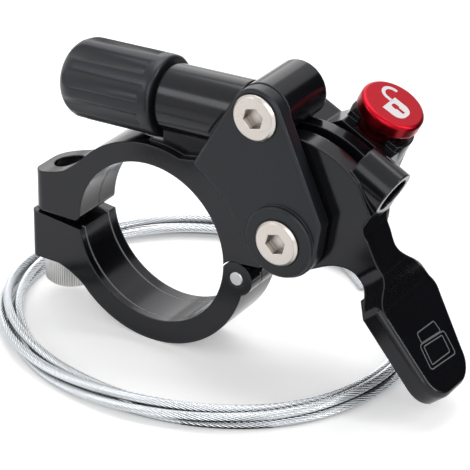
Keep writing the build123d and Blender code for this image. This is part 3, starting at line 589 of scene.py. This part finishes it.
# Painted highlight: the paddle sign's grey lines stand for the lit edges of its moulded outline
paddleSignHighlight = {
    **signPrint, "colour": (0.13, 0.132, 0.14), "edgeColour": (0.16, 0.16, 0.17), "roughness": (0.3, 0.4),
}
buttonSign = {
    "pivot": (0.0205, 0.0074, 0.0073),
    "tilt": 63.5,  # degrees of the button's axis above the level
    "reach": 0.01695,
    "thickness": 0.00004,
    "sunk": 0.00002,
    "middle": (0.45, -0.45),  # millimetres on the face, as all the sign's sizes
    "body": [(-0.98, -1.6), (1.85, -1.5), (1.85, 1.6), (-1.05, 1.55)],
    "bodyRounding": 1.25,
    "keyhole": [
        (-0.56, -0.27), (0.28, -0.27), (0.3, -0.09), (1.3, -0.09),
        (1.3, 0.41), (0.3, 0.41), (0.28, 0.59), (-0.56, 0.59),
    ],
    "keyholeRounding": 0.34,
    "shackleMiddle": (-1.68, 1.7),
    "shackleRadius": 1.08,
    "shackleWidth": 0.5,
    "legs": (0.75, 0.18),  # inner leg up to the body, free leg
}
paddleSign = {
    "origin": (0.0335, 0, 0.005),
    "down": (0.652, 0, -0.758),
    "outward": (0.758, 0, 0.652),
    "height": -0.00326,
    "thickness": 0.00003,
    "sunk": 0.00001,
    "lineWidth": 0.14,
    "loops": {
        "shackle": ([(8.4, 0.3), (8.6, 4.5), (10.3, 4.6), (9.85, 0.0)], 0.35),
        "bodyOutside": ([(9.75, -0.5), (10.35, 5.2), (13.65, 4.75), (13.15, -1.2)], 0.5),
        "bodyInside": ([(10.2, 0.05), (10.65, 4.4), (13.0, 3.95), (12.75, -0.5)], 0.3),
    },
}
millimetre = 0.001


def roundedLoop(shape, corners, rounding, chosen=None):
    verts = [shape.verts.new((x, y, 0)) for x, y in corners]
    shape.faces.new(verts)
    picked = [vert for index, vert in enumerate(verts) if chosen is None or index in chosen]
    bmesh.ops.bevel(
        shape, geom=picked, offset=rounding, segments=6, profile=0.5, affect="VERTICES", material=-1,
    )
    return list(shape.faces)


def finishSign(name, shape, settings, place, material, body):
    faces = list(shape.faces)
    raised = bmesh.ops.extrude_face_region(shape, geom=faces)
    lifted = [item for item in raised["geom"] if isinstance(item, bmesh.types.BMVert)]
    bmesh.ops.translate(shape, verts=lifted, vec=(0, 0, settings["thickness"] / millimetre))
    bmesh.ops.recalc_face_normals(shape, faces=shape.faces)
    bmesh.ops.transform(shape, verts=shape.verts, matrix=place @ Matrix.Scale(millimetre, 4))
    mesh = bpy.data.meshes.new(name)
    shape.to_mesh(mesh)
    shape.free()
    mesh.materials.append(material)
    sign = bpy.data.objects.new(name, mesh)
    scene.collection.objects.link(sign)
    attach(sign, body)


def faceMatrix(origin, across, outward):
    z = Vector(outward).normalized()
    x = Vector(across).normalized()
    turn = Matrix((x, z.cross(x), z)).transposed().to_4x4()
    return Matrix.Translation(origin) @ turn


def makeButtonSign():
    settings = buttonSign
    shape = bmesh.new()
    roundedLoop(shape, settings["body"], settings["bodyRounding"], chosen=(1, 2))
    outside = list(shape.edges)
    hole = bmesh.new()
    roundedLoop(hole, settings["keyhole"], settings["keyholeRounding"], chosen=(0, 7))
    rim = [shape.verts.new(vert.co) for vert in list(hole.faces)[0].verts]
    hole.free()
    inside = [shape.edges.new((first, second)) for first, second in zip(rim, rim[1:] + rim[:1])]
    bmesh.ops.delete(shape, geom=list(shape.faces), context="FACES_ONLY")
    bmesh.ops.triangle_fill(shape, edges=outside + inside, use_beauty=True)
    centre = Vector((*settings["shackleMiddle"], 0))
    half = settings["shackleWidth"] / 2
    inner, free = settings["legs"]
    reach = settings["shackleRadius"]
    start = [shape.verts.new(centre + Vector((inner, -reach + side * half, 0))) for side in (-1, 1)]
    edge = shape.edges.new(start)
    leg = bmesh.ops.extrude_edge_only(shape, edges=[edge])["geom"]
    legVerts = [item for item in leg if isinstance(item, bmesh.types.BMVert)]
    bmesh.ops.translate(shape, verts=legVerts, vec=(-inner, 0, 0))
    legEdge = [item for item in leg if isinstance(item, bmesh.types.BMEdge) and set(item.verts) == set(legVerts)]
    bend = bmesh.ops.spin(
        shape, geom=legVerts + legEdge, cent=centre, axis=(0, 0, 1), angle=-math.pi, steps=14, use_merge=False,
    )["geom_last"]
    bendEdge = [item for item in bend if isinstance(item, bmesh.types.BMEdge)]
    tip = bmesh.ops.extrude_edge_only(shape, edges=bendEdge)["geom"]
    bmesh.ops.translate(
        shape, verts=[item for item in tip if isinstance(item, bmesh.types.BMVert)], vec=(free, 0, 0),
    )
    tilt = math.radians(settings["tilt"])
    outward = Vector((math.cos(tilt), 0, math.sin(tilt)))
    across = Vector((math.sin(tilt), 0, -math.cos(tilt)))
    aside, along = settings["middle"]
    origin = Vector(settings["pivot"]) + outward * (settings["reach"] - settings["sunk"])
    origin += across * aside * millimetre + Vector((0, along * millimetre, 0))
    finishSign(
        "button_sign", shape, settings, faceMatrix(origin, across, outward),
        coatMetal("signPrint", signPrint), "button",
    )


def makePaddleSign():
    settings = paddleSign
    whole = bmesh.new()
    for corners, rounding in settings["loops"].values():
        ring = bmesh.new()
        faces = roundedLoop(ring, corners, rounding)
        bmesh.ops.inset_region(ring, faces=faces, thickness=settings["lineWidth"], use_boundary=True)
        bmesh.ops.delete(ring, geom=faces, context="FACES")
        part = bpy.data.meshes.new("signPart")
        ring.to_mesh(part)
        ring.free()
        whole.from_mesh(part)
        bpy.data.meshes.remove(part)
    outward = Vector(settings["outward"])
    origin = Vector(settings["origin"]) + outward * (settings["height"] - settings["sunk"])
    finishSign(
        "paddle_sign", whole, settings, faceMatrix(origin, settings["down"], outward),
        coatMetal("paddleSignHighlight", paddleSignHighlight), "lever",
    )


makeButtonSign()
makePaddleSign()
print("signs made")


# Floor, room and lamps

floorSettings = {
    "size": 3.0,
    "colour": (0.93, 0.93, 0.93), "roughness": 0.9, "specular": 0.1,
    "glow": 0.27,  # seen by the camera and in reflections, so that the shadow stays soft
}
roomLight = {
    "seen": 1.0,  # by the camera and in reflections
    "shed": 0.38,  # on the part and the floor
}
lamps = {
    "overhead": {"place": (-0.06, 0.12, 0.42), "size": (0.3, 0.3), "power": 0.8},
    "rightRim": {"place": (0.36, 0.12, 0.2), "size": (0.06, 0.34), "power": 0.5},
    "backSoft": {"place": (-0.21, 0.34, 0.21), "size": (0.25, 0.25), "power": 0.24},
    "cameraSide": {"place": (0.21, -0.34, 0.22), "size": (0.4, 0.3), "power": 0.7},
    "highPatch": {"place": (0.108, 0.25, 0.36), "size": (0.12, 0.12), "power": 0.12},
    "frontStrip": {"place": (-0.24, -0.28, 0.24), "size": (0.16, 0.12), "power": 0.2},
}
darkCards = {
    "rightCard": {"place": (0.28, 0.37, 0.1), "size": (0.4, 0.32)},
    "frontCard": {"place": (-0.01, -0.33, 0.07), "size": (0.1, 0.18)},
    "boardCard": {"place": (0.018, -0.19, floorHeight + 0.0001), "size": (0.07, 0.23), "facing": (0, 0, 1)},
    "webCard": {"place": (-0.028, -0.053, floorHeight + 0.0001), "size": (0.012, 0.008), "facing": (0, 0, 1)},
    "floorCard": {"place": (0.17, 0.19, floorHeight + 0.0001), "size": (0.26, 0.36), "facing": (0, 0, 1)},
    "leverCard": {"place": (0.0245, -0.029, floorHeight + 0.0001), "size": (0.021, 0.013), "facing": (0, 0, 1)},
    "nippleCard": {"place": (0.0175, -0.0415, floorHeight + 0.0001), "size": (0.013, 0.011), "facing": (0, 0, 1)},
    "bossCard": {"place": (0.02, -0.014, floorHeight + 0.0001), "size": (0.010, 0.016), "facing": (0, 0, 1)},
}


def makeFloor():
    mesh = bpy.data.meshes.new("floor")
    shape = bmesh.new()
    bmesh.ops.create_grid(shape, x_segments=1, y_segments=1, size=floorSettings["size"] / 2)
    bmesh.ops.translate(shape, verts=shape.verts, vec=(0, 0, floorHeight))
    shape.to_mesh(mesh)
    shape.free()
    floor = bpy.data.objects.new("floor", mesh)
    scene.collection.objects.link(floor)
    material, tree, shader = newMaterial("whiteFloor")
    shader.inputs["Base Color"].default_value = (*floorSettings["colour"], 1)
    shader.inputs["Roughness"].default_value = floorSettings["roughness"]
    shader.inputs["Specular IOR Level"].default_value = floorSettings["specular"]
    path = tree.nodes.new("ShaderNodeLightPath")
    seen = mathNode(tree, "MAXIMUM", path.outputs["Is Camera Ray"], path.outputs["Is Glossy Ray"])
    shader.inputs["Emission Color"].default_value = (1, 1, 1, 1)
    tree.links.new(mathNode(tree, "MULTIPLY", seen, floorSettings["glow"]), shader.inputs["Emission Strength"])
    mesh.materials.append(material)


def makeRoom():
    world = bpy.data.worlds.new("whiteRoom")
    scene.world = world
    world.use_nodes = True
    tree = world.node_tree
    light = tree.nodes["Background"]
    light.inputs["Color"].default_value = (1, 1, 1, 1)
    path = tree.nodes.new("ShaderNodeLightPath")
    seen = mathNode(tree, "MAXIMUM", path.outputs["Is Camera Ray"], path.outputs["Is Glossy Ray"])
    seen = mathNode(tree, "MAXIMUM", seen, path.outputs["Is Transmission Ray"])
    extra = mathNode(tree, "MULTIPLY", seen, roomLight["seen"] - roomLight["shed"])
    strength = mathNode(tree, "ADD", extra, roomLight["shed"])
    tree.links.new(strength, light.inputs["Strength"])


def hangLamp(name, settings):
    data = bpy.data.lights.new(name, "AREA")
    data.shape = "RECTANGLE"
    data.size, data.size_y = settings["size"]
    data.energy = settings["power"]
    lamp = bpy.data.objects.new(name, data)
    scene.collection.objects.link(lamp)
    place = Vector(settings["place"])
    lamp.location = place
    lamp.rotation_euler = place.to_track_quat("Z", "Y").to_euler()


def hangCard(name, settings):
    # Only reflections show a card: it darkens what the gloss mirrors, as a photographer's card does
    mesh = bpy.data.meshes.new(name)
    shape = bmesh.new()
    bmesh.ops.create_grid(shape, x_segments=1, y_segments=1, size=0.5)
    bmesh.ops.scale(shape, verts=shape.verts, vec=(*settings["size"], 1))
    place = Vector(settings["place"])
    turn = Vector(settings.get("facing", place)).to_track_quat("Z", "Y").to_matrix().to_4x4()
    bmesh.ops.transform(shape, verts=shape.verts, matrix=Matrix.Translation(place) @ turn)
    shape.to_mesh(mesh)
    shape.free()
    card = bpy.data.objects.new(name, mesh)
    scene.collection.objects.link(card)
    material, tree, shader = newMaterial(name)
    shader.inputs["Base Color"].default_value = (0.01, 0.01, 0.01, 1)
    shader.inputs["Roughness"].default_value = 1.0
    shader.inputs["Specular IOR Level"].default_value = 0.0
    mesh.materials.append(material)
    card.visible_camera = False
    card.visible_diffuse = False
    card.visible_shadow = False


makeFloor()
makeRoom()
for name, settings in darkCards.items():
    hangCard(name, settings)
for name, settings in lamps.items():
    hangLamp(name, settings)

scene.view_settings.view_transform = "Standard"
print("room lit")
